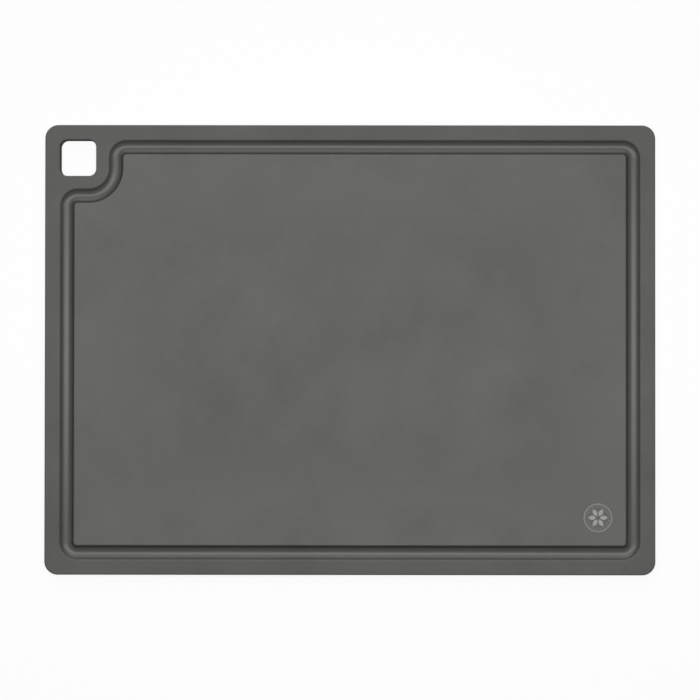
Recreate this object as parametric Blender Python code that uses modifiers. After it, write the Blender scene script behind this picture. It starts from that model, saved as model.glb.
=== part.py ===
# Composite cutting board: a laminate of resin-bonded fibre sheets with a juice groove and a hanging hole.
# It lies face up on the plane z = 0, its length along X and its width along Y.
# Each sheet here stands for a bundle of the thin plies that are pressed into the real slab.
import math

import bmesh
import bpy
from mathutils import Matrix, Vector

# Slab
board_length = 0.380
board_width = 0.280
board_thickness = 0.0065
board_corner_radius = 0.0084
edge_rounding = 0.0012

# Juice groove, milled by a ball-nosed cutter through the face sheet and into the core sheet below it
rim_width = 0.00865
groove_cutter_radius = 0.0048
groove_depth = 0.0030
groove_lip_rounding = 0.0014
field_corner_radius = 0.0012

# Laminate: the face sheet, the core sheet that holds the groove's bottom, and two equal sheets below them,
# with a bond line between each and the next
face_sheet_thickness = 0.0016
core_under_groove = 0.0004
bond_gap = 0.0003

# Hanging hole near the top left corner, set in a little more than the rim is wide, and the groove's step round it
hole_setback = 0.0007
hole_side = 0.0224
hole_corner_radius = 0.0045
hole_lip_rounding = 0.0009
hole_to_groove = 0.0072
step_lip_radius = 0.0119

# Fineness of the round stretches
corner_segments = 10
edge_segments = 5
lip_segments = 4
groove_segments = 14

# Reach of a cutter past the face that it cuts
cutter_reach = 0.002

# Sizes that follow from the ones above
upper_core_thickness = groove_depth + core_under_groove - face_sheet_thickness - bond_gap
below_upper_core = board_thickness - face_sheet_thickness - upper_core_thickness - 2 * bond_gap
lower_sheet_thickness = (below_upper_core - bond_gap) / 2
ball_centre_height = board_thickness - groove_depth + groove_cutter_radius
lip_centre_height = board_thickness - groove_lip_rounding
lip_to_ball = groove_cutter_radius + groove_lip_rounding
groove_wall_slope = math.acos((ball_centre_height - lip_centre_height) / lip_to_ball)
groove_half_width = lip_to_ball * math.sin(groove_wall_slope)
groove_inset = rim_width + groove_half_width
groove_corner_radius = groove_half_width + field_corner_radius
hole_margin = rim_width + hole_setback
step_inset = hole_margin + hole_side + hole_to_groove + groove_half_width
step_radius = step_lip_radius + groove_half_width
hole_inset = hole_margin + hole_side / 2

# Edges turned by more than this are rounded, so the facets of the round corners aren't
sharp_edge_angle = math.radians(60)
weld_distance = 1e-7
level_normal_z = 0.999

# Finish: resin-bonded paper, dark warm grey all through, matt where it was pressed and worn smoother on the rim
core_colour = (94, 94, 92)
rim_colour = (98, 98, 95)
field_colour = (101, 102, 99)
core_roughness = 0.6
rim_roughness = 0.55
field_roughness = 0.6


def clear_scene():
    for item in list(bpy.data.objects):
        bpy.data.objects.remove(item, do_unlink=True)


def new_collection(name):
    collection = bpy.data.collections.new(name)
    bpy.context.scene.collection.children.link(collection)
    return collection


def linear(channel):
    """A display colour channel, 0 to 255, as linear light."""
    value = channel / 255
    return value / 12.92 if value <= 0.04045 else ((value + 0.055) / 1.055) ** 2.4


def composite_material(name, colour, roughness):
    material = bpy.data.materials.new(name)
    material.use_nodes = True
    shader = material.node_tree.nodes["Principled BSDF"]
    shader.inputs["Base Color"].default_value = (*(linear(channel) for channel in colour), 1.0)
    shader.inputs["Roughness"].default_value = roughness
    shader.inputs["Metallic"].default_value = 0.0
    return material


def rounded_outline(corners):
    """Points of a closed outline from its square corners, each given as (x, y, radius)."""
    points = []
    for index, (x, y, radius) in enumerate(corners):
        corner = Vector((x, y))
        before = (Vector(corners[index - 1][:2]) - corner).normalized()
        after = (Vector(corners[(index + 1) % len(corners)][:2]) - corner).normalized()
        half_angle = before.angle(after) / 2
        centre = corner + (before + after).normalized() * radius / math.sin(half_angle)
        start = corner + before * radius / math.tan(half_angle) - centre
        end = corner + after * radius / math.tan(half_angle) - centre
        turn = math.atan2(start.x * end.y - start.y * end.x, start.dot(end))
        for step in range(corner_segments + 1):
            points.append(centre + Matrix.Rotation(turn * step / corner_segments, 2) @ start)
    return points


def rectangle_corners(centre_x, centre_y, length, width, radius):
    x, y = length / 2, width / 2
    return [
        (centre_x - x, centre_y - y, radius),
        (centre_x + x, centre_y - y, radius),
        (centre_x + x, centre_y + y, radius),
        (centre_x - x, centre_y + y, radius),
    ]


def groove_corners():
    """The groove's centre line: a rectangle whose top left corner steps in round the hanging hole."""
    right, top = board_length / 2 - groove_inset, board_width / 2 - groove_inset
    step_x, step_y = step_inset - board_length / 2, board_width / 2 - step_inset
    return [
        (-right, -top, groove_corner_radius),
        (right, -top, groove_corner_radius),
        (right, top, groove_corner_radius),
        (step_x, top, groove_corner_radius),
        (step_x, step_y, step_radius),
        (-right, step_y, groove_corner_radius),
    ]


def run_past_face(section, face_height):
    """Lets a lip's last facet run on past the board's face, so that the cut ends cleanly in the face."""
    (before_x, before_z), (end_x, end_z) = section[-2:]
    past_x = end_x + (end_x - before_x) / 2
    past_z = end_z + (end_z - before_z) / 2
    return [*section[:-1], (past_x, past_z), (past_x, face_height + cutter_reach)]


def groove_section():
    """Half of the cutter's closed section, bottom to top, as (distance from centre line, height)."""
    half = []
    for step in range(groove_segments // 2 + 1):
        angle = groove_wall_slope * 2 * step / groove_segments
        half.append((
            groove_cutter_radius * math.sin(angle),
            ball_centre_height - groove_cutter_radius * math.cos(angle),
        ))
    for step in range(1, lip_segments + 1):
        angle = groove_wall_slope * (1 - step / lip_segments)
        half.append((
            groove_half_width - groove_lip_rounding * math.sin(angle),
            lip_centre_height + groove_lip_rounding * math.cos(angle),
        ))
    return run_past_face(half, board_thickness)


def outline_curve(name, points):
    """A closed flat outline as a curve in the plane z = 0."""
    data = bpy.data.curves.new(name, "CURVE")
    data.dimensions = "2D"
    spline = data.splines.new("POLY")
    spline.points.add(len(points) - 1)
    for target, point in zip(spline.points, points):
        target.co = (point[0], point[1], 0.0, 1.0)
    spline.use_cyclic_u = True
    curve = bpy.data.objects.new(name, data)
    bpy.context.scene.collection.objects.link(curve)
    return curve


def mesh_from(source, name, collection):
    """The evaluated shape of an object as a new mesh object; the source is removed."""
    bpy.context.view_layer.update()
    evaluated = source.evaluated_get(bpy.context.evaluated_depsgraph_get())
    mesh = bpy.data.meshes.new_from_object(evaluated)
    mesh.name = name
    shape = bmesh.new()
    shape.from_mesh(mesh)
    bmesh.ops.remove_doubles(shape, verts=shape.verts, dist=weld_distance)
    bmesh.ops.recalc_face_normals(shape, faces=shape.faces)
    # Level faces are shaded flat and all others smooth, which keeps the edge between them crisp
    for face in shape.faces:
        face.smooth = abs(face.normal.z) < level_normal_z
    shape.to_mesh(mesh)
    shape.free()
    place = source.matrix_world.copy()
    bpy.data.objects.remove(source, do_unlink=True)
    result = bpy.data.objects.new(name, mesh)
    result.matrix_world = place
    collection.objects.link(result)
    return result


def plate(name, corners, low, high, collection):
    """A plate with the given outline between two heights."""
    curve = outline_curve(name, rounded_outline(corners))
    curve.data.fill_mode = "BOTH"
    curve.data.extrude = (high - low) / 2
    curve.location.z = (high + low) / 2
    return mesh_from(curve, name, collection)


def as_cutter(cutter):
    cutter.hide_render = True
    cutter.display_type = "WIRE"
    return cutter


def add_rounding(target, width):
    bevel = target.modifiers.new("rounding", "BEVEL")
    bevel.width = width
    bevel.segments = edge_segments
    bevel.limit_method = "ANGLE"
    bevel.angle_limit = sharp_edge_angle


def add_cut(target, operation, cutter):
    boolean = target.modifiers.new(cutter.name, "BOOLEAN")
    boolean.operation = operation
    boolean.solver = "EXACT"
    boolean.object = cutter


def groove_cutter(collection):
    """The groove's section swept along its centre line."""
    half = groove_section()
    section = outline_curve("groove_section", half[::-1] + [(-x, z) for x, z in half[1:]])
    path = outline_curve("groove_cutter", rounded_outline(groove_corners()))
    path.data.fill_mode = "NONE"
    path.data.bevel_mode = "OBJECT"
    path.data.bevel_object = section
    cutter = mesh_from(path, "groove_cutter", collection)
    bpy.data.objects.remove(section, do_unlink=True)
    return as_cutter(cutter)


def slab_blank(collection):
    """The whole slab with its rounded edges, before it is cut and split into sheets."""
    outline = rectangle_corners(0.0, 0.0, board_length, board_width, board_corner_radius)
    blank = plate("slab_blank", outline, 0.0, board_thickness, collection)
    add_rounding(blank, edge_rounding)
    return mesh_from(blank, "slab_blank", collection)


def hole_lip_section():
    """One lip of the hanging hole, from its wall outwards, as (flare, distance from the face)."""
    lip = []
    for step in range(lip_segments + 1):
        angle = math.pi / 2 * step / lip_segments
        lip.append((
            hole_lip_rounding * (1 - math.cos(angle)),
            hole_lip_rounding * (math.sin(angle) - 1),
        ))
    return run_past_face(lip, 0.0)


def hole_cutter(cutters):
    """A plug with the hanging hole's outline that flares at both ends into the hole's lips."""
    lip = hole_lip_section()
    section = [(flare, -height) for flare, height in reversed(lip)]
    section += [(flare, board_thickness + height) for flare, height in lip]
    shape = bmesh.new()
    rings = []
    for flare, height in section:
        side = hole_side + 2 * flare
        corners = rectangle_corners(
            hole_inset - board_length / 2,
            board_width / 2 - hole_inset,
            side,
            side,
            hole_corner_radius + flare,
        )
        rings.append([shape.verts.new((*point, height)) for point in rounded_outline(corners)])
    for lower, upper in zip(rings, rings[1:]):
        for index in range(len(lower)):
            shape.faces.new((lower[index - 1], lower[index], upper[index], upper[index - 1]))
    shape.faces.new(rings[0])
    shape.faces.new(rings[-1])
    bmesh.ops.recalc_face_normals(shape, faces=shape.faces)
    mesh = bpy.data.meshes.new("hanging_hole")
    shape.to_mesh(mesh)
    shape.free()
    cutter = bpy.data.objects.new("hanging_hole", mesh)
    cutters.objects.link(cutter)
    return as_cutter(cutter)


def layer_cutters(cutters):
    """Plates wider than the board that each take one sheet out of the slab, from the underside up."""
    outline = rectangle_corners(
        0.0, 0.0, board_length + 2 * cutter_reach, board_width + 2 * cutter_reach, board_corner_radius
    )
    thicknesses = (lower_sheet_thickness, lower_sheet_thickness, upper_core_thickness, face_sheet_thickness)
    layers = []
    low = 0.0
    for index, thickness in enumerate(thicknesses):
        high = low + thickness
        bottom = low - cutter_reach if index == 0 else low
        top = high + cutter_reach if index == len(thicknesses) - 1 else high
        layers.append(as_cutter(plate(f"layer_{index + 1}", outline, bottom, top, cutters)))
        low = high + bond_gap
    return layers


def new_sheet(name, blank, layer, material, collection, board):
    sheet = bpy.data.objects.new(name, blank.data.copy())
    sheet.data.name = name
    sheet.data.materials.clear()
    sheet.data.materials.append(material)
    sheet.location = blank.location
    sheet.parent = board
    collection.objects.link(sheet)
    add_cut(sheet, "INTERSECT", layer)
    return sheet


def core_sheet(name, blank, layer, collection, board):
    material = composite_material(f"{name}_fibre_composite", core_colour, core_roughness)
    return new_sheet(name, blank, layer, material, collection, board)


def build_board():
    clear_scene()
    parts = new_collection("composite_cutting_board")
    cutters = new_collection("cutters")
    board = bpy.data.objects.new("board", None)
    parts.objects.link(board)

    blank = slab_blank(parts)
    groove = groove_cutter(cutters)
    hole = hole_cutter(cutters)
    field = as_cutter(plate(
        "field_outline", groove_corners(), 0.0, board_thickness + cutter_reach, cutters
    ))
    back_layer, lower_core_layer, upper_core_layer, face_layer = layer_cutters(cutters)

    back = core_sheet("back_sheet", blank, back_layer, parts, board)
    lower_core = core_sheet("lower_core_sheet", blank, lower_core_layer, parts, board)
    upper_core = core_sheet("upper_core_sheet", blank, upper_core_layer, parts, board)
    add_cut(upper_core, "DIFFERENCE", groove)

    rim_material = composite_material("rim_fibre_composite", rim_colour, rim_roughness)
    rim = new_sheet("rim_sheet", blank, face_layer, rim_material, parts, board)
    add_cut(rim, "DIFFERENCE", groove)
    add_cut(rim, "DIFFERENCE", field)
    for sheet in (back, lower_core, upper_core, rim):
        add_cut(sheet, "DIFFERENCE", hole)

    field_material = composite_material("field_fibre_composite", field_colour, field_roughness)
    cutting_field = new_sheet("cutting_field_sheet", blank, face_layer, field_material, parts, board)
    add_cut(cutting_field, "DIFFERENCE", groove)
    add_cut(cutting_field, "INTERSECT", field)

    bpy.data.objects.remove(blank, do_unlink=True)


build_board()
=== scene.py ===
import math

import bmesh
import bpy
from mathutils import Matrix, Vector


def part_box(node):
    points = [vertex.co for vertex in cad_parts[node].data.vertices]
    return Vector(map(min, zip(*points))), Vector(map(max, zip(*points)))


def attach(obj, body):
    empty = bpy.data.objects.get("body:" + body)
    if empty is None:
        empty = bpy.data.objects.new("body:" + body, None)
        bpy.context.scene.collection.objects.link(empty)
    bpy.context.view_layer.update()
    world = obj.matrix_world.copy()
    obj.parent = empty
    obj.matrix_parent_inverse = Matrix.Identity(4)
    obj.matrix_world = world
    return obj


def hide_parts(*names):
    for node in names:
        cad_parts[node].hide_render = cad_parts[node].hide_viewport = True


# Composite cutting board: pressed fibre and resin sheets, with a milled juice groove and a hanging hole
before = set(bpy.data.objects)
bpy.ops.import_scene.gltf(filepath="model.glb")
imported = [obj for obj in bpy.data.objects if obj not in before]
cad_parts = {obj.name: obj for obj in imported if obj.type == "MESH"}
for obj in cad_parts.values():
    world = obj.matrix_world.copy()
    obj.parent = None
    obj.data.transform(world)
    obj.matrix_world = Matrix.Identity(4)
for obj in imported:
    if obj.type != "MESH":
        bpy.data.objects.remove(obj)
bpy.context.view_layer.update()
mm = 0.001
body = "root"

# The sheets from the underside up. In the pressed slab they meet half way across the gaps that the
# frame leaves for the bond
sheetNames = ("back_sheet", "lower_core_sheet", "upper_core_sheet", "rim_sheet")
boardLow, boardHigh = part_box("back_sheet")[0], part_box("rim_sheet")[1]
boardX, boardY, boardTop = boardHigh
seams = [
    (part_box(below)[1].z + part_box(above)[0].z) / 2
    for below, above in zip(sheetNames, sheetNames[1:])
]
levels = [boardLow.z, *seams, boardTop]

# Welding and shading of every finished mesh
meshing = {
    "weld": 1e-6,  # metres
    "lastWeld": 1e-7,
    "levelWithin": 1e-6,
    "crispAngle": 35.0,  # degrees between faces that stay a crisp edge
    "uprightNormal": 0.35,  # a wall's normal rises by less than this
}


def addNode(tree, kind, inputs=(), **settings):
    # One node with its settings. Its inputs go by name or in order, and each takes a value, a socket,
    # a node for its first output, or a list of those that join there
    node = tree.nodes.new(kind)
    for name, value in settings.items():
        setattr(node, name, value)
    keyed = inputs if isinstance(inputs, dict) else dict(enumerate(inputs))
    for key, given in keyed.items():
        for value in given if isinstance(given, list) else [given]:
            if isinstance(value, bpy.types.Node):
                value = value.outputs[0]
            if isinstance(value, bpy.types.NodeSocket):
                tree.links.new(value, node.inputs[key])
            else:
                node.inputs[key].default_value = value
    return node


def newTree(name, sockets):
    # A geometry tree with the named inputs, and its group input's outputs
    tree = bpy.data.node_groups.new(name, "GeometryNodeTree")
    for label, kind in sockets.items():
        tree.interface.new_socket(label, in_out="INPUT", socket_type=f"NodeSocket{kind}")
    tree.interface.new_socket("Shape", in_out="OUTPUT", socket_type="NodeSocketGeometry")
    return tree, addNode(tree, "NodeGroupInput").outputs


def setInput(modifier, name, value):
    for item in modifier.node_group.interface.items_tree:
        if item.item_type == "SOCKET" and item.in_out == "INPUT" and item.name == name:
            modifier[item.identifier] = value


def linearColour(hexCode):
    # An sRGB hex value as linear red, green, blue and full alpha
    channels = [int(hexCode[i:i + 2], 16) / 255 for i in (1, 3, 5)]
    linear = [c / 12.92 if c <= 0.04045 else ((c + 0.055) / 1.055) ** 2.4 for c in channels]
    return (*linear, 1.0)


def newPiece(name, mesh):
    piece = bpy.data.objects.new(name, mesh)
    bpy.context.scene.collection.objects.link(piece)
    return piece


def plainMesh(piece):
    # The evaluated shape as a plain mesh: welded, faces outward, smooth with its crisp edges kept
    bpy.context.view_layer.update()
    evaluated = piece.evaluated_get(bpy.context.evaluated_depsgraph_get())
    mesh = bpy.data.meshes.new_from_object(evaluated)
    piece.modifiers.clear()
    piece.data = mesh
    shape = bmesh.new()
    shape.from_mesh(mesh)
    bmesh.ops.remove_doubles(shape, verts=shape.verts, dist=meshing["lastWeld"])
    bmesh.ops.recalc_face_normals(shape, faces=shape.faces)
    shape.to_mesh(mesh)
    shape.free()
    mesh.shade_smooth()
    mesh.set_sharp_from_angle(angle=math.radians(meshing["crispAngle"]))


# Slab outline, in millimetres
slab = {
    "cornerRadius": 8.4,
    "edgeRounding": 1.2,
    "cornerFacets": 28,
    "edgeFacets": 14,
}

# Hanging hole near the top left corner: softly rounded above, only just broken on the underside
hangingHole = {
    "side": 22.4,
    "cornerRadius": 4.5,
    "lip": 0.9,
    "underLip": 0.3,
    "margin": 9.35,
    "toGroove": 7.2,
}

# Juice groove, milled by a ball-nosed cutter, which steps in round the hanging hole
juiceGroove = {
    "rimWidth": 8.65,
    "cutter": 4.8,
    "depth": 3.0,
    "lip": 1.4,
    "fieldCorner": 1.2,
    "stepLip": 11.9,
    "lipFacets": 14,
    "degreesPerFacet": 1.2,
}

# The outlines that bound a sheet, in the order that the tree meets them
outlineOrder = ("edge", "hole", "groove")
cornerSigns = ((-1, -1), (1, -1), (1, 1), (-1, 1))

# The groove's section in metres: a round bottom, then walls that roll over small lips onto the face
cutter, lip = juiceGroove["cutter"] * mm, juiceGroove["lip"] * mm
ballHeight = boardTop - juiceGroove["depth"] * mm + cutter
wallSlope = math.acos((ballHeight - boardTop + lip) / (cutter + lip))
seamSlope = math.acos((ballHeight - seams[-1]) / cutter)
grooveHalf = (cutter + lip) * math.sin(wallSlope)


def troughCorner(fromSlope, toSlope):
    # Where the tangents at two slopes of the round bottom cross, as offset and height
    middle, reach = (fromSlope + toSlope) / 2, cutter / math.cos((toSlope - fromSlope) / 2)
    return reach * math.sin(middle), ballHeight - reach * math.cos(middle)


def facetsOver(angle):
    return round(math.degrees(angle) / juiceGroove["degreesPerFacet"])


def grooveWall(side):
    # One wall from the seam up to the face, as offset, height, rounding radius and facets
    kneeX, kneeZ = troughCorner(seamSlope, wallSlope)
    lipX = grooveHalf - lip * math.tan(wallSlope / 2)
    return [
        (side * cutter * math.sin(seamSlope), seams[-1], 0.0, 1),
        (side * kneeX, kneeZ, cutter, facetsOver(wallSlope - seamSlope)),
        (side * lipX, boardTop, lip, juiceGroove["lipFacets"]),
        (side * grooveHalf, boardTop, 0.0, 1),
    ]


def grooveBottom():
    reach = cutter * math.sin(seamSlope)
    return [
        (-reach, seams[-1], 0.0, 1),
        (*troughCorner(-seamSlope, seamSlope), cutter, facetsOver(2 * seamSlope)),
        (reach, seams[-1], 0.0, 1),
    ]


def wallSection(low, high, side, underRounding, topRounding):
    # An edge or hole wall: rounded where it meets the board's own faces, plain at a seam
    bottom = top = []
    if low == boardLow.z:
        bottom = [(side * underRounding * mm, low, 0.0, 1)]
    if high == boardTop:
        top = [(side * topRounding * mm, high, 0.0, 1)]
    return [
        *bottom,
        (0.0, low, underRounding * mm if bottom else 0.0, slab["edgeFacets"] if bottom else 1),
        (0.0, high, topRounding * mm if top else 0.0, slab["edgeFacets"] if top else 1),
        *top,
    ]


def rectanglePath(centreX, centreY, halfX, halfY, radius):
    return [(centreX + x * halfX, centreY + y * halfY, radius * mm) for x, y in cornerSigns]


def outerPath():
    return rectanglePath(0.0, 0.0, boardX, boardY, slab["cornerRadius"])


def holePath():
    half = hangingHole["side"] / 2 * mm
    inset = hangingHole["margin"] * mm + half
    return rectanglePath(inset - boardX, boardY - inset, half, half, hangingHole["cornerRadius"])


def groovePath():
    # The groove's centre line, which steps in round the hanging hole
    inset = juiceGroove["rimWidth"] * mm + grooveHalf
    besideHole = hangingHole["margin"] + hangingHole["side"] + hangingHole["toGroove"]
    stepInset = besideHole * mm + grooveHalf
    right, top = boardX - inset, boardY - inset
    stepX, stepY = stepInset - boardX, boardY - stepInset
    tight = grooveHalf + juiceGroove["fieldCorner"] * mm
    return [
        (-right, -top, tight),
        (right, -top, tight),
        (right, top, tight),
        (stepX, top, tight),
        (stepX, stepY, grooveHalf + juiceGroove["stepLip"] * mm),
        (-right, stepY, tight),
    ]


def roundedLine(tree, mesh):
    # A line of corner points with each corner rounded to its own radius
    line = addNode(tree, "GeometryNodeMeshToCurve", {"Mesh": mesh})
    facets, radius = (
        addNode(tree, "GeometryNodeInputNamedAttribute", {"Name": name}, data_type=kind)
        for name, kind in (("cornerFacets", "INT"), ("cornerRadius", "FLOAT"))
    )
    return addNode(
        tree,
        "GeometryNodeFilletCurve",
        {"Curve": line, "Count": facets, "Radius": radius},
        mode="POLY",
    )


def sweptWalls(tree, outlines, count):
    # One turn of the zone for each outline: pick its corners and its section, round both and sweep
    start, end = addNode(tree, "GeometryNodeRepeatInput"), addNode(tree, "GeometryNodeRepeatOutput")
    start.pair_with_output(end)
    tree.links.new(count, start.inputs["Iterations"])
    outline, isSection = (
        addNode(tree, "GeometryNodeInputNamedAttribute", {"Name": name}, data_type=kind)
        for name, kind in (("outline", "INT"), ("isSection", "BOOLEAN"))
    )
    mine = addNode(
        tree,
        "FunctionNodeCompare",
        {2: outline, 3: start.outputs["Iteration"]},  # 2 and 3 are its whole numbers
        data_type="INT",
        operation="EQUAL",
    )
    picked = addNode(
        tree,
        "GeometryNodeSeparateGeometry",
        {"Geometry": outlines, "Selection": mine},
        domain="POINT",
    )
    parted = addNode(
        tree,
        "GeometryNodeSeparateGeometry",
        {"Geometry": picked, "Selection": isSection},
        domain="POINT",
    ).outputs
    centreLine = roundedLine(tree, parted["Inverted"])
    path = addNode(tree, "GeometryNodeSetCurveNormal", {"Curve": centreLine}, mode="Z_UP")
    section = roundedLine(tree, parted["Selection"])
    wall = addNode(tree, "GeometryNodeCurveToMesh", {"Curve": path, "Profile Curve": section})
    tagged = addNode(
        tree,
        "GeometryNodeStoreNamedAttribute",
        {"Geometry": wall, "Name": "wallOf", "Value": start.outputs["Iteration"]},
        data_type="INT",
        domain="FACE",
    )
    walls = addNode(
        tree, "GeometryNodeJoinGeometry", {"Geometry": [start.outputs["Geometry"], tagged]}
    )
    tree.links.new(walls.outputs[0], end.inputs["Geometry"])
    return end.outputs["Geometry"]


def flatCap(tree, walls, level):
    # A flat face between the open edges that lie at one level
    neighbours = addNode(tree, "GeometryNodeInputMeshEdgeNeighbors")
    single = addNode(
        tree, "FunctionNodeCompare", {2: neighbours, 3: 1}, data_type="INT", operation="EQUAL"
    )
    position = addNode(tree, "GeometryNodeInputPosition")
    height = addNode(tree, "ShaderNodeSeparateXYZ", [position]).outputs["Z"]
    atLevel = addNode(
        tree,
        "FunctionNodeCompare",
        {"A": height, "B": level, "Epsilon": meshing["levelWithin"]},
        data_type="FLOAT",
        operation="EQUAL",
    )
    isOpen = addNode(tree, "FunctionNodeBooleanMath", [single, atLevel], operation="AND")
    edges = addNode(
        tree,
        "GeometryNodeSeparateGeometry",
        {"Geometry": walls, "Selection": isOpen},
        domain="EDGE",
    )
    loops = addNode(tree, "GeometryNodeMeshToCurve", {"Mesh": edges})
    cap = addNode(tree, "GeometryNodeFillCurve", {"Curve": loops}, mode="NGONS")
    lift = addNode(tree, "ShaderNodeCombineXYZ", {"Z": level})
    return addNode(tree, "GeometryNodeTransform", {"Geometry": cap, "Translation": lift})


def wallOfOutline(tree, name):
    # The faces that one outline's sweep has left behind
    wall = addNode(tree, "GeometryNodeInputNamedAttribute", {"Name": "wallOf"}, data_type="INT")
    return addNode(
        tree,
        "FunctionNodeCompare",
        {2: wall, 3: outlineOrder.index(name)},
        data_type="INT",
        operation="EQUAL",
    )


def uprightFaces(tree):
    normal = addNode(tree, "GeometryNodeInputNormal")
    rise = addNode(tree, "ShaderNodeSeparateXYZ", [normal]).outputs["Z"]
    tilt = addNode(tree, "ShaderNodeMath", [rise], operation="ABSOLUTE")
    return addNode(
        tree,
        "FunctionNodeCompare",
        {"A": tilt, "B": meshing["uprightNormal"]},
        data_type="FLOAT",
        operation="LESS_THAN",
    )


def milledSheetTree():
    tree, given = newTree("milledSheet", {
        "Outlines": "Geometry",
        "Outline Count": "Int",
        "Low": "Float",
        "High": "Float",
        "Weld": "Float",
        "Finish": "Material",
        "Hole Finish": "Material",
        "Groove Finish": "Material",
    })
    walls = sweptWalls(tree, given["Outlines"], given["Outline Count"])
    walls = addNode(
        tree, "GeometryNodeMergeByDistance", {"Geometry": walls, "Distance": given["Weld"]}
    )
    caps = [flatCap(tree, walls, given[level]) for level in ("Low", "High")]
    sheet = addNode(tree, "GeometryNodeJoinGeometry", {"Geometry": [walls, *caps]})
    sheet = addNode(
        tree, "GeometryNodeMergeByDistance", {"Geometry": sheet, "Distance": given["Weld"]}
    )
    sheet = addNode(tree, "GeometryNodeRealizeInstances", {"Geometry": sheet})
    inHole = addNode(
        tree,
        "FunctionNodeBooleanMath",
        [wallOfOutline(tree, "hole"), uprightFaces(tree)],
        operation="AND",
    )
    for finish, faces in (
        ("Finish", True),
        ("Hole Finish", inHole),
        ("Groove Finish", wallOfOutline(tree, "groove")),
    ):
        sheet = addNode(
            tree,
            "GeometryNodeSetMaterial",
            {"Geometry": sheet, "Selection": faces, "Material": given[finish]},
        )
    addNode(tree, "NodeGroupOutput", {"Shape": sheet})
    return tree


def outlineMesh(name, outlines):
    # Guide points: each outline's path, then its section with height as minus Y
    points, edges, tags = [], [], []
    for number, (path, section) in enumerate(outlines):
        first = len(points)
        points += [(x, y, 0.0) for x, y, radius in path]
        tags += [(number, False, radius, slab["cornerFacets"]) for x, y, radius in path]
        edges += [(first + i, first + (i + 1) % len(path)) for i in range(len(path))]
        first = len(points)
        points += [(offset, -height, 0.0) for offset, height, radius, facets in section]
        tags += [(number, True, radius, facets) for offset, height, radius, facets in section]
        edges += [(first + i, first + i + 1) for i in range(len(section) - 1)]
    mesh = bpy.data.meshes.new(name)
    mesh.from_pydata(points, edges, [])
    columns = {
        "outline": "INT",
        "isSection": "BOOLEAN",
        "cornerRadius": "FLOAT",
        "cornerFacets": "INT",
    }
    for column, (label, kind) in enumerate(columns.items()):
        attribute = mesh.attributes.new(label, kind, "POINT")
        attribute.data.foreach_set("value", [row[column] for row in tags])
    return mesh


def milledSheet(name, low, high, outlines, finish, grooveFinish):
    piece = newPiece(name, outlineMesh(name, outlines))
    sweep = piece.modifiers.new("milledSheet", "NODES")
    sweep.node_group = sheetTree
    setInput(sweep, "Outline Count", len(outlines))
    setInput(sweep, "Low", low)
    setInput(sweep, "High", high)
    setInput(sweep, "Weld", meshing["weld"])
    setInput(sweep, "Finish", finish)
    setInput(sweep, "Hole Finish", holeFinish)
    setInput(sweep, "Groove Finish", grooveFinish)
    return piece


def dressNode(piece, node):
    plainMesh(piece)
    piece.modifiers.new("flatFacesLead", "WEIGHTED_NORMAL").keep_sharp = True
    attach(piece, body)
    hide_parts(node)


# Fibre composite: paper plies soaked in resin, pressed hot and milled. Its faces are as even and matt
# as slate, with faint clouds and short paper fibres in them. What the cutter laid open is smoother and
# shows the plies as fine level lines. Its darker colour is partly the cut surface and partly painted
# shade on the cut walls. Sizes are in millimetres.
composite = {
    "milledFrom": 0.02,  # below a pressed face
    "milledFully": 0.6,
    "cloudSize": 60.0,
    "cloudDetail": 6.0,  # octaves, as in the other details
    "cloudRoughness": 0.66,
    "cloudShade": 0.64,
    "fibreLength": 2.6,
    "fibreWidth": 0.2,  # several times that of a real fibre, so that it shows
    "fibreAngles": (14.0, -38.0, 71.0),
    "fibreShade": 0.05,
    "fibreDetail": 1.0,
    "fleckFrom": 0.58,  # where in the noise a fleck begins and is full
    "fleckTo": 0.74,
    "plyPitch": 0.25,
    "plyShade": 0.07,
    "grainSize": 0.6,  # coarser than real sanding marks, so that it shows
    "grainDepth": 0.004,
    "grainDetail": 2.0,
    "roughnessDrift": 0.06,
}
# Each finish's milled colour, below its pressed face, is partly the cut surface and partly painted
# shade
finishes = {
    # Finely sanded: the palest and mattest face, without a highlight. Its milled colour, on the
    # groove's inner wall, is darker than the rim's as painted shade
    "field": {
        "face": "#5a5a58",
        "milled": "#363634",
        "faceRoughness": 0.74,
        "milledRoughness": 0.38,
        "specular": 0.2,
        "borderShade": 0.095,
    },
    # The same face with polished edges: a shade darker and a little smoother than the field
    "rim": {
        "face": "#545452",
        "milled": "#434341",
        "faceRoughness": 0.68,
        "milledRoughness": 0.38,
        "specular": 0.2,
    },
    # Like the rim; it shows only at the side edges and on the underside
    "core": {
        "face": "#545452",
        "milled": "#434341",
        "faceRoughness": 0.68,
        "milledRoughness": 0.38,
        "specular": 0.2,
    },
    # Burnished by the round cutter, the groove's bottom draws the light from above into a soft ridge.
    # Its dark colour is partly the cut surface and partly painted shade on the trough's sloping sides
    "groove": {
        "face": "#343432",
        "milled": "#343432",
        "faceRoughness": 0.38,
        "milledRoughness": 0.38,
        "specular": 0.45,
    },
    # Sawn and left dry, with no shine; its colour, a little darker than the core's, is painted shade,
    # so the wall stays dark beside the white seen through the hole
    "holeWall": {
        "face": "#50504e",
        "milled": "#50504e",
        "faceRoughness": 0.9,
        "milledRoughness": 0.9,
        "specular": 0.0,
    },
}

# The field is a little paler along the groove, in a border that wanders with the clouds
fieldBorder = {
    "paleTo": 20.0,  # millimetres from the groove
    "goneAt": 50.0,
    "wander": 200.0,
    "cornerBlend": 30.0,
}


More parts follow.
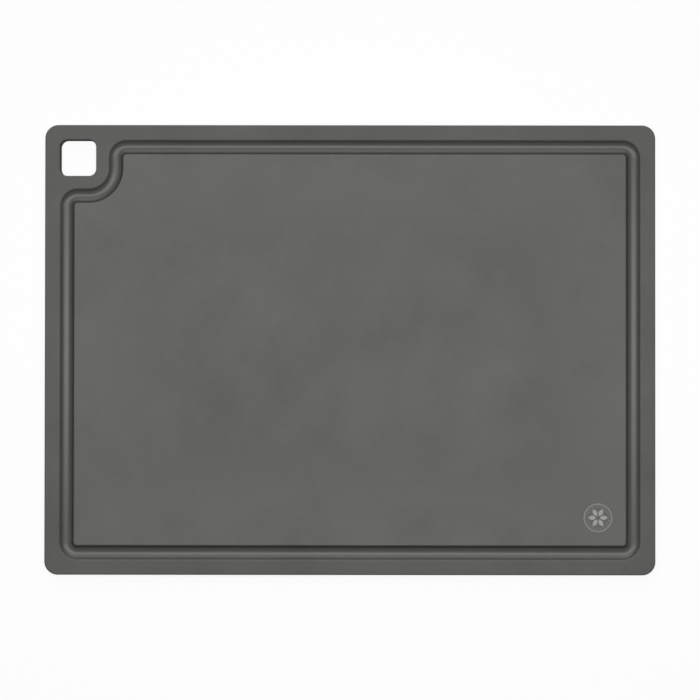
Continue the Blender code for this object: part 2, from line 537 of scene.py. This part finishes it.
def depthMask(tree, height):
    # 0 on the pressed faces, 1 where milling has gone below them; there the colour turns to the darker
    # milled one, which is partly painted shade
    middle, half = (boardLow.z + boardTop) / 2, (boardTop - boardLow.z) / 2
    fromMiddle = addNode(tree, "ShaderNodeMath", [height, middle], operation="SUBTRACT")
    fromMiddle = addNode(tree, "ShaderNodeMath", [fromMiddle], operation="ABSOLUTE")
    return addNode(
        tree,
        "ShaderNodeMapRange",
        {
            "Value": fromMiddle,
            "From Min": half - composite["milledFrom"] * mm,
            "From Max": half - composite["milledFully"] * mm,
        },
        interpolation_type="SMOOTHSTEP",
    )


def paperFibres(tree, place):
    # Sparse pale flecks, as long as paper fibres, lying at a few angles
    total = 0.0
    width = composite["fibreWidth"] * mm
    for angle in composite["fibreAngles"]:
        along = addNode(
            tree,
            "ShaderNodeMapping",
            {
                "Vector": place,
                "Rotation": (0.0, 0.0, math.radians(angle)),
                "Scale": (composite["fibreLength"] * mm, width, width),
            },
            vector_type="TEXTURE",
        )
        lines = addNode(
            tree,
            "ShaderNodeTexNoise",
            {"Vector": along, "Scale": 1.0, "Detail": composite["fibreDetail"]},
        )
        flecks = addNode(
            tree,
            "ShaderNodeMapRange",
            {"Value": lines, "From Min": composite["fleckFrom"], "From Max": composite["fleckTo"]},
            interpolation_type="SMOOTHSTEP",
        )
        total = addNode(tree, "ShaderNodeMath", [flecks, total], operation="ADD")
    return total


def plyLines(tree, height, clouds):
    # Level lines one ply apart, drifting a little as the plies do
    pitch = composite["plyPitch"] * mm
    drifted = addNode(tree, "ShaderNodeMath", [clouds, pitch, height], operation="MULTIPLY_ADD")
    phase = addNode(tree, "ShaderNodeMath", [drifted, math.tau / pitch], operation="MULTIPLY")
    return addNode(tree, "ShaderNodeMath", [phase], operation="SINE")


def borderPaleness(tree, place, clouds):
    # 1 beside the groove, fading out towards the middle of the field
    inset = juiceGroove["rimWidth"] * mm + 2 * grooveHalf
    parts = addNode(tree, "ShaderNodeSeparateXYZ", [place]).outputs
    gaps = []
    for axis, half in (("X", boardX), ("Y", boardY)):
        fromMiddle = addNode(tree, "ShaderNodeMath", [parts[axis]], operation="ABSOLUTE")
        gaps.append(addNode(tree, "ShaderNodeMath", [half - inset, fromMiddle], operation="SUBTRACT"))
    blend, wander = fieldBorder["cornerBlend"] * mm, fieldBorder["wander"] * mm
    gap = addNode(tree, "ShaderNodeMath", [*gaps, blend], operation="SMOOTH_MIN")
    gap = addNode(tree, "ShaderNodeMath", [clouds, wander, gap], operation="MULTIPLY_ADD")
    return addNode(
        tree,
        "ShaderNodeMapRange",
        {
            "Value": gap,
            "From Min": fieldBorder["paleTo"] * mm,
            "From Max": fieldBorder["goneAt"] * mm,
            "To Min": 1.0,
            "To Max": 0.0,
        },
        interpolation_type="SMOOTHSTEP",
    )


def fibreComposite(name, finish):
    material = bpy.data.materials.new(name)
    material.use_nodes = True
    tree = material.node_tree
    shader = tree.nodes["Principled BSDF"]
    shader.inputs["Specular IOR Level"].default_value = finish["specular"]
    place = addNode(tree, "ShaderNodeTexCoord").outputs["Object"]
    height = addNode(tree, "ShaderNodeSeparateXYZ", [place]).outputs["Z"]
    milled = depthMask(tree, height)
    patches = addNode(
        tree,
        "ShaderNodeTexNoise",
        {
            "Vector": place,
            "Scale": 1.0 / (composite["cloudSize"] * mm),
            "Detail": composite["cloudDetail"],
            "Roughness": composite["cloudRoughness"],
        },
    )
    # The clouds run from -0.5 to 0.5
    clouds = addNode(tree, "ShaderNodeMath", [patches, 0.5], operation="SUBTRACT")

    # Each pattern lightens or darkens the plain colour by its own share
    patterns = [
        (clouds, composite["cloudShade"]),
        (paperFibres(tree, place), composite["fibreShade"]),
    ]
    if "borderShade" in finish:
        patterns.append((borderPaleness(tree, place, clouds), finish["borderShade"]))
    lines = plyLines(tree, height, clouds)
    plies = addNode(tree, "ShaderNodeMath", [lines, milled], operation="MULTIPLY")
    patterns.append((plies, composite["plyShade"]))
    shade = 1.0
    for pattern, share in patterns:
        shade = addNode(tree, "ShaderNodeMath", [pattern, share, shade], operation="MULTIPLY_ADD")

    # The mix node keeps its colours at inputs 6 and 7 and output 2, and its plain values at 2, 3 and 0
    plain = addNode(
        tree,
        "ShaderNodeMix",
        {0: milled, 6: linearColour(finish["face"]), 7: linearColour(finish["milled"])},
        data_type="RGBA",
    ).outputs[2]
    colour = addNode(
        tree, "ShaderNodeVectorMath", {"Vector": plain, "Scale": shade}, operation="SCALE"
    )
    even = addNode(
        tree,
        "ShaderNodeMix",
        {0: milled, 2: finish["faceRoughness"], 3: finish["milledRoughness"]},
        data_type="FLOAT",
    )
    drift = composite["roughnessDrift"]
    uneven = addNode(tree, "ShaderNodeMath", [clouds, drift, even], operation="MULTIPLY_ADD")
    grit = addNode(
        tree,
        "ShaderNodeTexNoise",
        {
            "Vector": place,
            "Scale": 1.0 / (composite["grainSize"] * mm),
            "Detail": composite["grainDetail"],
        },
    )
    grain = addNode(
        tree,
        "ShaderNodeBump",
        {"Strength": 1.0, "Distance": composite["grainDepth"] * mm, "Height": grit},
    )
    for label, pattern in (("Base Color", colour), ("Roughness", uneven), ("Normal", grain)):
        tree.links.new(pattern.outputs[0], shader.inputs[label])
    return material


# A small rosette engraved near the bottom right corner: a ring, a circle of dots and closed petals,
# paler than the face because the laser that cuts it bleaches the resin
cornerRosette = {
    "place": (154.1, -104.1),  # millimetres from the board's centre
    "ringRadius": 8.5,
    "ringWidth": 0.9,
    "dots": 24,
    "dotCircle": 6.9,
    "dotRadius": 0.36,
    "petals": 6,
    "petalCentre": 3.6,
    "petalLength": 4.8,
    "petalWidth": 2.6,
    "depth": 0.08,
    "filledTo": 0.03,
    "ringFacets": 96,
    "petalFacets": 40,
    "dotFacets": 16,
    "paleLine": "#7d7d7a",
    "palePetal": "#989894",
    "roughness": 0.6,
    "specular": 0.15,
}


def laserPaledResin(name, hexCode):
    # Lets the engraving read as a dry, chalky grey against the darker face
    material = bpy.data.materials.new(name)
    material.use_nodes = True
    tree = material.node_tree
    shader = tree.nodes["Principled BSDF"]
    shader.inputs["Roughness"].default_value = cornerRosette["roughness"]
    shader.inputs["Specular IOR Level"].default_value = cornerRosette["specular"]
    place = addNode(tree, "ShaderNodeTexCoord").outputs["Object"]
    fibres, share = paperFibres(tree, place), composite["fibreShade"]
    shade = addNode(tree, "ShaderNodeMath", [fibres, share, 1.0], operation="MULTIPLY_ADD")
    plain = linearColour(hexCode)[:3]
    colour = addNode(
        tree, "ShaderNodeVectorMath", {"Vector": plain, "Scale": shade}, operation="SCALE"
    )
    tree.links.new(colour.outputs[0], shader.inputs["Base Color"])
    return material


def petalOutline(tree, facets, length, width):
    # A unit circle drawn out to the petal's size; squaring its height brings both ends to a point
    position = addNode(tree, "GeometryNodeInputPosition")
    parts = addNode(tree, "ShaderNodeSeparateXYZ", [position]).outputs
    height = addNode(tree, "ShaderNodeMath", [parts["Y"]], operation="ABSOLUTE")
    pinched = addNode(tree, "ShaderNodeMath", [parts["Y"], height], operation="MULTIPLY")
    drawn = {}
    for axis, part, size in (("X", parts["X"], length), ("Y", pinched, width)):
        half = addNode(tree, "ShaderNodeMath", [size, 0.5], operation="MULTIPLY")
        drawn[axis] = addNode(tree, "ShaderNodeMath", [part, half], operation="MULTIPLY")
    moved = addNode(tree, "ShaderNodeCombineXYZ", drawn)
    circle = addNode(
        tree,
        "GeometryNodeCurvePrimitiveCircle",
        {"Resolution": facets, "Radius": 1.0},
        mode="RADIUS",
    )
    return addNode(tree, "GeometryNodeSetPosition", {"Geometry": circle, "Position": moved})


def roundTheCentre(tree, shape, count, radius):
    # Copies of a shape on a circle, each turned to face outwards
    places = addNode(
        tree, "GeometryNodeMeshCircle", {"Vertices": count, "Radius": radius}, fill_type="NONE"
    )
    index = addNode(tree, "GeometryNodeInputIndex")
    turn = addNode(tree, "ShaderNodeMath", [index, math.tau], operation="MULTIPLY")
    turn = addNode(tree, "ShaderNodeMath", [turn, count], operation="DIVIDE")
    rotation = addNode(tree, "ShaderNodeCombineXYZ", {"Z": turn})
    copies = addNode(
        tree,
        "GeometryNodeInstanceOnPoints",
        {"Points": places, "Instance": shape, "Rotation": rotation},
    )
    return addNode(tree, "GeometryNodeRealizeInstances", {"Geometry": copies})


def rosetteTree():
    tree, given = newTree("cornerRosette", {
        "Ring Radius": "Float",
        "Ring Width": "Float",
        "Dots": "Int",
        "Dot Circle": "Float",
        "Dot Radius": "Float",
        "Petals": "Int",
        "Petal Centre": "Float",
        "Petal Length": "Float",
        "Petal Width": "Float",
        "Ring Facets": "Int",
        "Petal Facets": "Int",
        "Dot Facets": "Int",
        "Place": "Vector",
        "Height": "Float",
        "Line Finish": "Material",
        "Petal Finish": "Material",
    })
    halfWidth = addNode(tree, "ShaderNodeMath", [given["Ring Width"], 0.5], operation="MULTIPLY")
    outer, inner = (
        addNode(tree, "ShaderNodeMath", [given["Ring Radius"], halfWidth], operation=operation)
        for operation in ("ADD", "SUBTRACT")
    )
    *ringEdges, dotEdge = [
        addNode(
            tree,
            "GeometryNodeCurvePrimitiveCircle",
            {"Resolution": given[facets], "Radius": radius},
            mode="RADIUS",
        )
        for facets, radius in (
            ("Ring Facets", outer),
            ("Ring Facets", inner),
            ("Dot Facets", given["Dot Radius"]),
        )
    ]
    ringEdge = addNode(tree, "GeometryNodeJoinGeometry", {"Geometry": ringEdges})
    petalEdge = petalOutline(tree, given["Petal Facets"], given["Petal Length"], given["Petal Width"])
    ring, dot, petal = (
        addNode(tree, "GeometryNodeFillCurve", {"Curve": edge}, mode="NGONS")
        for edge in (ringEdge, dotEdge, petalEdge)
    )
    dots = roundTheCentre(tree, dot, given["Dots"], given["Dot Circle"])
    petals = roundTheCentre(tree, petal, given["Petals"], given["Petal Centre"])

    # The flat drawing is raised to the engraving's height and closed from below
    lines = addNode(tree, "GeometryNodeJoinGeometry", {"Geometry": [ring, dots]})
    flat = addNode(tree, "GeometryNodeJoinGeometry", {"Geometry": [ring, dots, petals]})
    underside = addNode(tree, "GeometryNodeFlipFaces", {"Mesh": flat})
    rise = addNode(tree, "ShaderNodeCombineXYZ", {"Z": given["Height"]})
    raised = [
        addNode(
            tree,
            "GeometryNodeExtrudeMesh",
            {"Mesh": drawing, "Offset": rise, "Offset Scale": 1.0, "Individual": False},
            mode="FACES",
        )
        for drawing in (lines, petals)
    ]
    parts = zip([*raised, underside], ("Line Finish", "Petal Finish", "Line Finish"))
    finished = [
        addNode(tree, "GeometryNodeSetMaterial", {"Geometry": part, "Material": given[finish]})
        for part, finish in parts
    ]
    whole = addNode(tree, "GeometryNodeJoinGeometry", {"Geometry": finished})
    placed = addNode(
        tree, "GeometryNodeTransform", {"Geometry": whole, "Translation": given["Place"]}
    )
    shape = addNode(tree, "GeometryNodeRealizeInstances", {"Geometry": placed})
    addNode(tree, "NodeGroupOutput", {"Shape": shape})
    return tree


def rosette(name, low, high, lineFinish, petalFinish):
    piece = newPiece(name, bpy.data.meshes.new(name))
    draw = piece.modifiers.new("cornerRosette", "NODES")
    draw.node_group = rosetteShapes
    for label, key in {
        "Ring Radius": "ringRadius",
        "Ring Width": "ringWidth",
        "Dot Circle": "dotCircle",
        "Dot Radius": "dotRadius",
        "Petal Centre": "petalCentre",
        "Petal Length": "petalLength",
        "Petal Width": "petalWidth",
    }.items():
        setInput(draw, label, cornerRosette[key] * mm)
    for label, key in {
        "Dots": "dots",
        "Petals": "petals",
        "Ring Facets": "ringFacets",
        "Petal Facets": "petalFacets",
        "Dot Facets": "dotFacets",
    }.items():
        setInput(draw, label, cornerRosette[key])
    x, y = cornerRosette["place"]
    setInput(draw, "Place", (x * mm, y * mm, low))
    setInput(draw, "Height", high - low)
    setInput(draw, "Line Finish", lineFinish)
    setInput(draw, "Petal Finish", petalFinish)
    plainMesh(piece)
    return piece


# The pieces, from the underside up
sheetTree = milledSheetTree()
rosetteShapes = rosetteTree()
fieldFinish = fibreComposite("pressedFibreCompositeField", finishes["field"])
rimFinish = fibreComposite("pressedFibreCompositeRim", finishes["rim"])
coreFinish = fibreComposite("milledFibreCompositeCore", finishes["core"])
holeFinish = fibreComposite("sawnHoleWallWithPaintedShade", finishes["holeWall"])
grooveFinish = fibreComposite("burnishedFibreCompositeGroove", finishes["groove"])


def slabWalls(low, high):
    edge = slab["edgeRounding"]
    return [
        (outerPath(), wallSection(low, high, -1, edge, edge)),
        (holePath(), wallSection(low, high, 1, hangingHole["underLip"], hangingHole["lip"])),
    ]


def coreSheets():
    for index, node in enumerate(sheetNames[:-1]):
        low, high = levels[index], levels[index + 1]
        outlines = slabWalls(low, high)
        if node == "upper_core_sheet":
            outlines.append((groovePath(), grooveBottom()))
        sheet = milledSheet(f"board_{node}", low, high, outlines, coreFinish, grooveFinish)
        dressNode(sheet, node)


def rimSheet():
    low, high = levels[-2:]
    outlines = [*slabWalls(low, high), (groovePath(), grooveWall(1))]
    sheet = milledSheet("board_rim_sheet", low, high, outlines, rimFinish, rimFinish)
    dressNode(sheet, "rim_sheet")


def cuttingField():
    # The face inside the groove, with the rosette's lines sunk into it
    low, high = levels[-2:]
    outlines = [(groovePath(), grooveWall(-1))]
    field = milledSheet("board_cutting_field", low, high, outlines, fieldFinish, fieldFinish)
    depth = cornerRosette["depth"] * mm
    engraver = rosette("engraver", high - depth, high + depth, fieldFinish, fieldFinish)
    engraving = field.modifiers.new("engraving", "BOOLEAN")
    engraving.operation = "DIFFERENCE"
    engraving.solver = "EXACT"
    engraving.object = engraver
    dressNode(field, "cutting_field_sheet")
    bpy.data.objects.remove(engraver, do_unlink=True)


def engravedRosette():
    low, high = boardTop - cornerRosette["depth"] * mm, boardTop - cornerRosette["filledTo"] * mm
    piece = rosette(
        "board_corner_rosette",
        low,
        high,
        laserPaledResin("laserPaledResinLine", cornerRosette["paleLine"]),
        laserPaledResin("laserPaledResinPetal", cornerRosette["palePetal"]),
    )
    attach(piece, body)


coreSheets()
rimSheet()
cuttingField()
print("board: the sheets are milled")
engravedRosette()
print("board: the rosette is engraved")

# White matt table and backdrop: both are white to the eye and in reflections, and light the board only
# faintly, and the table mirrors nothing. Sizes are in metres.
surroundings = {
    "floorSize": 6.0,
    "floorDrop": 0.0002,  # keeps the floor off the plane of the board's underside
    "floorColour": "#f4f4f2",
    "whiteShare": 0.9,  # how much of the floor's white is there whatever falls on it
    "ambient": 0.02,
}


def seenDirectly(tree):
    # 1 for camera, glossy and transmission rays, 0 for the rays that carry light onto the board
    ray = addNode(tree, "ShaderNodeLightPath").outputs
    seen = ray["Is Camera Ray"]
    for kind in ("Is Glossy Ray", "Is Transmission Ray"):
        seen = addNode(tree, "ShaderNodeMath", [seen, ray[kind]], operation="MAXIMUM")
    return seen


def whiteFloor():
    half, level = surroundings["floorSize"] / 2, -surroundings["floorDrop"]
    corners = [(x * half, y * half, level) for x, y in cornerSigns]
    mesh = bpy.data.meshes.new("floor")
    mesh.from_pydata(corners, [], [tuple(range(len(corners)))])
    material = bpy.data.materials.new("paleMattTable")
    material.use_nodes = True
    tree = material.node_tree
    tree.nodes.remove(tree.nodes["Principled BSDF"])
    colour, whiteShare = linearColour(surroundings["floorColour"]), surroundings["whiteShare"]
    paint = addNode(tree, "ShaderNodeBsdfDiffuse", {"Color": colour})
    glow = addNode(tree, "ShaderNodeEmission", {"Strength": 1.0})
    share = addNode(tree, "ShaderNodeMath", [seenDirectly(tree), whiteShare], operation="MULTIPLY")
    surface = addNode(tree, "ShaderNodeMixShader", [share, paint, glow])
    tree.links.new(surface.outputs[0], tree.nodes["Material Output"].inputs["Surface"])
    mesh.materials.append(material)
    newPiece("floor", mesh)


def whiteBackdrop():
    world = bpy.data.worlds.new("backdrop")
    world.use_nodes = True
    bpy.context.scene.world = world
    tree = world.node_tree
    strength = addNode(
        tree,
        "ShaderNodeMapRange",
        {"Value": seenDirectly(tree), "To Min": surroundings["ambient"], "To Max": 1.0},
        interpolation_type="SMOOTHSTEP",
    )
    background = tree.nodes["Background"]
    background.inputs["Color"].default_value = (1.0, 1.0, 1.0, 1.0)
    tree.links.new(strength.outputs[0], background.inputs["Strength"])


# Soft boxes, in metres and watts: one close above the board and a large one off its top side
softBoxes = {
    "overhead": {"place": (0.0, 0.025, 0.64), "size": (0.9, 0.3), "power": 4.2},
    "topSide": {"place": (0.0, 4.0, 2.2), "size": (5.2, 5.2), "power": 160.0},
}


def softBox(name, place, size, power):
    lamp = bpy.data.lights.new(name, "AREA")
    lamp.shape = "RECTANGLE"
    lamp.size, lamp.size_y = size
    lamp.energy = power
    lampObject = newPiece(name, lamp)
    lampObject.location = place
    lampObject.rotation_euler = (-Vector(place)).to_track_quat("-Z", "Y").to_euler()


# The photograph's viewing angle: almost straight down, in metres, degrees and millimetres of lens
view = {
    "place": (0.0012, -0.0068, 0.93),
    "turn": (0.418, 0.073, 0.061),
    "lens": 76.4,
}


def addCamera():
    camera = bpy.data.cameras.new("camera")
    camera.lens = view["lens"]
    cameraObject = newPiece("camera", camera)
    cameraObject.location = view["place"]
    cameraObject.rotation_euler = [math.radians(angle) for angle in view["turn"]]
    bpy.context.scene.camera = cameraObject


whiteFloor()
whiteBackdrop()
for name, settings in softBoxes.items():
    softBox(name, **settings)
addCamera()
bpy.context.scene.view_settings.view_transform = "Standard"
print("studio: floor, lights and camera are set")
